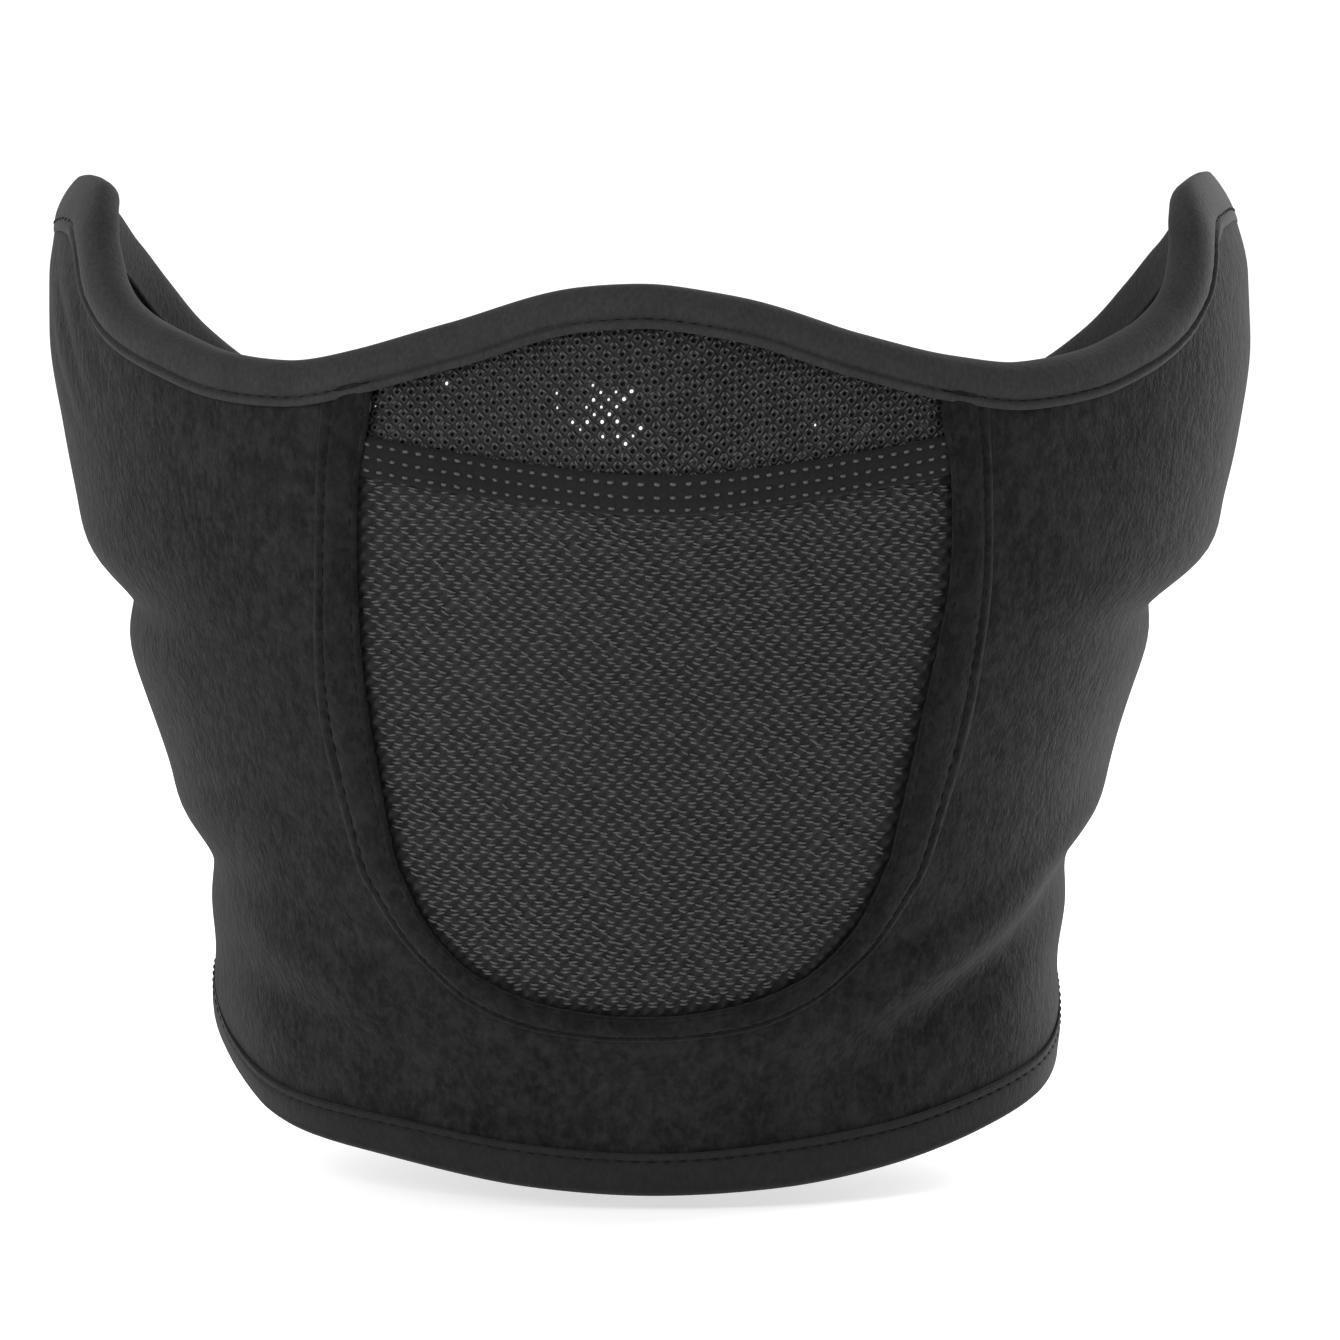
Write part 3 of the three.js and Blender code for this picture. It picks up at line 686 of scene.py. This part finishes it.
def nose_net():
    """Finer mesh: diamond tiles, each with a round pinhole and a raised ring round it."""
    side = NOSE_PITCH / math.sqrt(2)
    i, j = np.meshgrid(np.arange(-20, 90), np.arange(-20, 110))
    u, v = i.ravel() * side, j.ravel() * side
    cx, ch = (u - v) / math.sqrt(2), (u + v) / math.sqrt(2) + 60
    keep = (np.abs(cx) < 53) & (ch > 118) & (ch < 165)
    cx, ch = cx[keep], ch[keep]
    half = side / 2
    square = np.array([(-1, -1), (0, -1), (1, -1), (1, 0), (1, 1), (0, 1), (-1, 1), (-1, 0)]) * half
    turn = math.radians(45)
    spin = np.array([[math.cos(turn), -math.sin(turn)], [math.sin(turn), math.cos(turn)]])
    outer = square @ spin.T
    unit = outer / np.linalg.norm(outer, axis=1, keepdims=True)
    rng = np.random.default_rng(5)
    hole = rng.uniform(0.24, 0.36, len(cx))
    near = in_panel(cx, ch, False, 1.6)
    cx, ch, hole = cx[near], ch[near], hole[near]
    # Each ring: its offsets, mm out, and a value that the mesh's material turns into colour:
    # painted highlight on the ring's crown, painted shade down in the pinhole and on the floor of
    # the closed holes.
    rings = [(outer[None] + 0 * hole[:, None, None], 2.05, 0.25),
             (unit[None] * (hole[:, None, None] * 0.45 + 0.5), 2.5, 0.75),
             (unit[None] * (hole[:, None, None] + 0.1), 2.55, 0.9),
             (unit[None] * hole[:, None, None], 2.3, 0.3),
             (unit[None] * hole[:, None, None], 1.9, 0.0),
             (outer[None] + 0 * hole[:, None, None], 1.75, 0.1)]
    points, values = [], []
    for offsets, level, value in rings:
        x, h = stretch(cx[:, None] + offsets[..., 0], ch[:, None] + offsets[..., 1])
        points.append(cloth(angle_at(x, h), h, level))
        values.append(np.full(x.shape, value))
    points, values = np.stack(points, axis=1), np.stack(values, axis=1)
    tiles, k = np.arange(len(cx)), np.arange(8)
    # Only a few holes by the nose are stretched open: the others close on the yarn behind.
    away = np.hypot(cx - OPEN_HOLES_AT[0], (ch - OPEN_HOLES_AT[1]) * 1.3)
    blind = rng.random(len(cx)) > 0.85 * np.exp(-((away / 5.2) ** 2)) + 0.02
    faces = []
    for r in range(5):
        of = tiles if r < 4 else tiles[~blind]
        a = of[:, None] * 48 + r * 8 + k
        b = of[:, None] * 48 + r * 8 + (k + 1) % 8
        faces += np.stack([a, b, b + 8, a + 8], axis=-1).reshape(-1, 4).tolist()
    faces += (tiles[blind, None] * 48 + 32 + k).tolist()
    faces += (tiles[blind, None] * 48 + 40 + k[::-1]).tolist()
    # The tiles on the panel's rim are closed at their sides.
    between = (outer + np.roll(outer, -1, axis=0)) / 2
    sides = np.stack([cx[:, None] + between[:, 0], ch[:, None] + between[:, 1]], axis=-1)
    key = np.round(sides * 1000)
    _, which, times = np.unique(key.reshape(-1, 2).astype(int), axis=0, return_inverse=True,
                                return_counts=True)
    t, e = np.nonzero((times[which.ravel()] == 1).reshape(-1, 8))
    a, b = t * 48 + e, t * 48 + (e + 1) % 8
    faces += np.stack([b, a, a + 40, b + 40], axis=-1).tolist()
    made = mesh_object("nose_net", points.reshape(-1, 3), faces, NET, values)
    weld(made, 0.00002)
    keep_piece(made, "front", ["nose_mesh"])
    seen = in_panel(cx, ch, False, -0.4)
    x, h = stretch(cx[seen], ch[seen])
    for name, way in (("left", 1), ("right", -1)):
        n = len(x)
        tilt = way * (0.85 + rng.normal(0, 0.15, n))
        fx, fh = x - way * 0.4 + rng.normal(0, 0.08, n), h + 0.55 + rng.normal(0, 0.08, n)
        a = angle_at(fx, fh)
        reach = np.radians(half_width(fh) - CLOTH) * np.cos(np.radians(a))
        step = np.stack([np.cos(tilt), np.sin(tilt)], axis=-1)
        row = threads("nose_floats_" + name, a, fh, step, reach, 2.45, FLOAT, 0.95, 0.17)
        keep_piece(row, "front", [])


def weld(made, near):
    """Joins points closer than near, and turns every face outward."""
    work = bmesh.new()
    work.from_mesh(made.data)
    bmesh.ops.remove_doubles(work, verts=work.verts, dist=near)
    bmesh.ops.recalc_face_normals(work, faces=work.faces)
    work.to_mesh(made.data)
    work.free()


def join_tape():
    x = np.linspace(-TAPE_HALF_LENGTH, TAPE_HALF_LENGTH, 210)
    v = np.linspace(-0.5, 0.5, 17)
    height = tape_middle(x)[:, None] + v[None] * TAPE_WIDTH
    seams = sum(bell(v, share, 0.06) for _, share in TAPE_ROWS[::-1])
    ripple = 0.06 * np.sin(x[:, None] * 2.4)
    out = 3.75 - 0.22 * seams[None] - 0.5 * np.abs(v[None] * 2) ** 8 + ripple
    angle = angle_at(x[:, None], height)
    top = np.concatenate([cloth(angle, height, out), cloth(angle, height, 2.95)[:, ::-1]], axis=1)
    keep_piece(tube("window_join_tape", top[:, ::-1], TAPE), "front", ["mesh_join_tape"])
    for name, share in TAPE_ROWS:
        along = x[4:-4]
        h = tape_middle(along) + share * TAPE_WIDTH
        row = stitches("tape_row_" + name, angle_at(along, h), h, 3.57, TAPE_THREAD_HIGHLIGHT, 2.3, 1.15, 0.3)
        keep_piece(row, "front", ["tape_stitch_" + name])


# ---- bindings ----
def u_section(width, seam_at, cap, puff=0.75, lip=0.45):
    """A folded binding's section: inward from the edge, and out from the inside face, in mm."""
    w = np.concatenate([np.linspace(width + 0.12, seam_at + 0.2, 7), np.linspace(seam_at, 0.6, 16)])
    rolled = puff * np.sin(np.pi * np.clip((w + 0.6) / (seam_at + 0.6), 0, 1)) ** 0.7
    share = np.clip((w - seam_at) / (width - seam_at), 0, 1)
    out = BINDING_OUT + np.where(w > seam_at, lip * np.sin(np.pi * share) ** 0.8, rolled)
    out -= 0.35 * bell(w, seam_at, 0.3)
    turn = np.linspace(0.12, math.pi - 0.12, 12)
    roll_w = 0.4 - (cap + 0.4) * np.sin(turn)
    roll_out = 1.7 + 3.45 * np.cos(turn)
    inner_w = np.linspace(0.6, width, 9)
    inner_out = -1.75 - 0.25 * np.sin(np.pi * np.clip(inner_w / seam_at, 0, 1))
    back_w = [width, 0.4, -0.3, -0.3, 0.4, width + 0.1]
    back_out = [-0.6, -0.5, 0.2, 3.6, 3.95, 3.95]
    return (np.concatenate([w, roll_w, inner_w, back_w]),
            np.concatenate([out, roll_out, inner_out, back_out]))


def flattened(out, angle):
    """The bindings lie almost level with the cloth round the ears, as in the photo."""
    side = np.abs(angle)
    over_ear = (np.clip((side - EAR_STARTS) / EAR_FADE, 0, 1)
                * np.clip((EAR_ENDS - side) / EAR_FADE, 0, 1))
    level = EAR_LEVEL + (out - EAR_LEVEL) * (1 - 0.9 * over_ear)
    return np.where(out > EAR_LEVEL, level, np.where(out < 0, out * (1 - 0.75 * over_ear), out))


def edge_trim(name, edge, start, end, section, material, body, nodes, flip, blended):
    """A folded binding along the top or, flipped, along the hem."""
    angle, height, step, reach = edge_path(edge, start, end, 0.9)
    inward, out = section
    inward = -inward if flip else inward
    a = angle[:, None] + step[:, 1:2] * inward / reach[:, None]
    h = height[:, None] - step[:, 0:1] * inward
    # The sections at a seam stand upright so that the pieces on both sides meet.
    upright = np.clip(np.abs(np.abs(angle) - SEAM) / 4, 0, 1)
    a = angle[:, None] + (a - angle[:, None]) * upright[:, None]
    out = flattened(out[None], angle[:, None])
    near_stitches = bell(np.abs(inward), abs(inward).max() - 2, 1.6)
    ripple = np.sin(np.arange(len(a)) * 2.2)[:, None] * near_stitches
    rings = cloth(a, h, out + 0.06 * ripple)
    made = tube(name, rings if flip else rings[:, ::-1], material)
    keep_piece(made, body, nodes, blended)


def edge_row(name, edge, start, end, inward, level, body, nodes, blended):
    """The stitches along a binding's inner edge."""
    angle, height, step, reach = edge_path(edge, start, end, 2.5)
    angle, height, step, reach = (v[:-1] for v in (angle, height, step, reach))
    a = angle + step[:, 1] * inward / reach + 0.5 * np.abs(end - start) / len(angle)
    h = height - step[:, 0] * inward
    row = threads(name, a, h, step, reach, flattened(level, angle) - 0.04, THREAD, 1.8, 0.24)
    keep_piece(row, body, nodes, blended)


def bindings():
    top = u_section(BINDING_WIDTH, TOP_STITCH_AT, 1.8)
    hem = u_section(HEM_WIDTH, HEM_STITCH_AT, 1.6, 0.35, 0.08)
    spans = (("front", -SEAM, SEAM), ("left_wing", SEAM, WING_END + 0.6),
             ("right_wing", -WING_END - 0.6, -SEAM))
    for name, start, end in spans:
        body, front = name, name == "front"
        blended = not front
        edge_trim(name + "_top_roll", top_edge, start, end, top, BINDING, body,
                  [name + "_top_binding"], False, blended)
        edge_trim(name + "_hem_roll", low_edge, start, end, hem, HEM, body,
                  [name + "_hem"], True, blended)
        edge_row(name + "_top_row", top_edge, start, end, TOP_STITCH_AT, TOP_ROW_OUT, body,
                 ["front_top_stitch"] if front else [], blended)
        edge_row(name + "_hem_row", low_edge, start, end, -HEM_STITCH_AT, HEM_ROW_OUT, body,
                 ["front_hem_stitch"] if front else [], blended)


def wing_ends():
    """The bound end of each wing, behind the head."""
    inward, out = u_section(END_WIDTH, END_STITCH_AT, 1.3, 0.5, 0.2)
    for side, sign in (("left", 1), ("right", -1)):
        height = np.linspace(low_edge(180) + END_ABOVE_HEM, top_edge(180) - END_BELOW_TOP, 50)
        angle = np.full(height.shape, sign * WING_END)
        _, reach = along_edge(angle, height)
        a = angle[:, None] - sign * inward / reach[:, None]
        h = np.broadcast_to(height[:, None], a.shape)
        rings = cloth(a, h, np.broadcast_to(out, a.shape))
        made = tube(side + "_wing_end_roll", rings if sign > 0 else rings[:, ::-1], BINDING)
        keep_piece(made, side + "_wing", [side + "_wing_end_binding"])
        path_a = angle - sign * END_STITCH_AT / reach
        row = stitches(side + "_wing_end_row", path_a, height, 4.95, THREAD, 2.5, 1.8, 0.25)
        keep_piece(row, side + "_wing", [])


# ---- closure ----
# First and last angle, lowest and highest point.
LOOP_SPAN = (156.5, 172, 59.5, 94.5)
HOOK_SPAN = (155.8, 171, 61.5, 92.5)
STRAP_SPAN = (154.2, 195.2, 58, 96)
STRAP_ROW, LOOP_ROW = (60.2, 93.8), (60.9, 93.1)  # the heights of the rows of stitches


def patch_slab(name, start, end, low, high, inner, thick, material, corner=0.25, crown=0.2):
    """A patch with rounded corners and a soft crown.

    inner is how far out its back lies, in mm, or a function that gives this for each angle.
    """
    u, v = np.meshgrid(np.linspace(-1, 1, 90), np.linspace(-1, 1, 60))
    uu = u * (1 - corner * 0.12 * np.abs(v) ** 9)
    vv = v * (1 - corner * 0.5 * np.clip((np.abs(u) - 1 + corner) / corner, 0, 1) ** 2.6)
    angle = (start + end) / 2 + (end - start) / 2 * uu
    height = (low + high) / 2 + (high - low) / 2 * vv
    under = inner(angle) if callable(inner) else np.full(angle.shape, float(inner))
    edge = np.maximum(np.abs(u), np.abs(v))
    rounded = 0.45 * thick * np.clip((edge - 0.95) / 0.05, 0, 1) ** 2
    over = under + thick + crown * (1 - edge ** 4) - rounded
    return slab(name, angle, height, over, under, material)


def strap_under(angle):
    """The strap's inside face: on the hook pad, over both bound ends, on the right wing."""
    return np.interp(angle, [152, 172, 174.5, 180, 186, 188.5, 196],
                     [5.95, 5.95, 5.75, 5.7, 5.7, 4.2, 3.8])


def closure():
    loop = patch_slab("loop_pad", *LOOP_SPAN, 3.75, 1.15, NYLON)
    keep_piece(loop, "left_wing", ["loop_patch"])
    hook = patch_slab("hook_pad", *HOOK_SPAN, 5.15, 0.65, NYLON)
    keep_piece(hook, "tab", ["hook_patch"])
    strap = patch_slab("closure_strap", *STRAP_SPAN, strap_under, 1.3, FLEECE, 0.22, 0.3)
    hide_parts("closure_tab", "tab_anchor")
    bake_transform(strap)
    sewn("strap_stitch", box_path(155.6, 177.4, *STRAP_ROW), 1.25, "tab")
    sewn("base_stitch", box_path(183.6, 194, *STRAP_ROW), 1.25, "right_wing")
    cross = [(184.2, 61.2), (193.4, 92.8), (193.4, 61.2), (184.2, 92.8)]
    sewn("base_cross_stitch", cross, 1.4, "right_wing")
    sewn("loop_stitch", box_path(157.3, 171.2, *LOOP_ROW), None, "left_wing")


def sewn(name, corners, above, body):
    """Stitches in straight lines from corner to corner, above the strap's inside face."""
    path = [np.linspace(a, b, 40)[:-1] for a, b in zip(corners, corners[1:])]
    angle, height = spaced_path(*np.concatenate(path).T, 2.4)
    step, reach = along_edge(angle, height)
    level = LOOP_STITCH_OUT if above is None else strap_under(angle) + above
    row = threads(name, angle, height, step, reach, level, THREAD, 1.7, 0.24)
    keep_piece(row, body, [])


def box_path(start, end, low, high):
    return [(start, low), (end, low), (end, high), (start, high), (start, low)]


fleece_panels()
facing()
nose_net()
mouth_net()
join_tape()
bindings()
wing_ends()
closure()

# ---- floor, lights and camera ----
FLOOR_Z, FLOOR_HALF_SIDE = -0.1025, 14.0
LAMPS_AIM = (0, 0, -0.01)
CAMERA_AZIMUTH, CAMERA_ELEVATION, CAMERA_DISTANCE = math.radians(-0.7), math.radians(7.0), 5.0
CAMERA_TARGET = (0.0034, 0.0, -0.0187)
SENSOR_WIDTH = 36
VIEW_WIDTH = 0.2308  # metres across the picture, at the target


def stage():
    material, tree, shader = new_material("studio_white")
    shader.inputs["Base Color"].default_value = (0.9, 0.9, 0.9, 1)
    shader.inputs["Emission Color"].default_value = (1, 1, 1, 1)
    shader.inputs["Emission Strength"].default_value = 0.42
    shader.inputs["Roughness"].default_value = 0.8
    corners = [(x * FLOOR_HALF_SIDE, y * FLOOR_HALF_SIDE, FLOOR_Z)
               for x, y in ((-1, -1), (1, -1), (1, 1), (-1, 1))]
    floor = mesh_object("studio_floor", corners, [(0, 1, 2, 3)], material)
    world = bpy.data.worlds.new("studio")
    bpy.context.scene.world = world
    world.use_nodes = True
    world.node_tree.nodes["Background"].inputs["Color"].default_value = (1, 1, 1, 1)
    world.node_tree.nodes["Background"].inputs["Strength"].default_value = 0.72


def lamp(name, place, size, power):
    data = bpy.data.lights.new(name, "AREA")
    data.shape = "RECTANGLE"
    data.size, data.size_y = size
    data.energy = power
    made = bpy.data.objects.new(name, data)
    bpy.context.scene.collection.objects.link(made)
    made.location = place
    made.rotation_euler = (Vector(LAMPS_AIM) - Vector(place)).to_track_quat("-Z", "Y").to_euler()


def camera():
    level = math.cos(CAMERA_ELEVATION)
    back = Vector((math.sin(CAMERA_AZIMUTH) * level, -math.cos(CAMERA_AZIMUTH) * level,
                   math.sin(CAMERA_ELEVATION)))
    data = bpy.data.cameras.new("camera")
    made = bpy.data.objects.new("camera", data)
    bpy.context.scene.collection.objects.link(made)
    made.location = Vector(CAMERA_TARGET) + back * CAMERA_DISTANCE
    made.rotation_euler = (-back).to_track_quat("-Z", "Y").to_euler()
    data.sensor_width = SENSOR_WIDTH
    data.lens = SENSOR_WIDTH * CAMERA_DISTANCE / VIEW_WIDTH
    data.clip_end = 60
    bpy.context.scene.camera = made
    bpy.context.scene.view_settings.view_transform = "Standard"


stage()
lamp("side_left", (-0.68, 0.6, 0.2), (0.5, 0.9), 2.8)
lamp("side_right", (0.68, 0.6, 0.2), (0.5, 0.9), 11.8)
lamp("front_soft", (-0.7, -0.9, 0.5), (0.6, 0.6), 5.4)
camera()
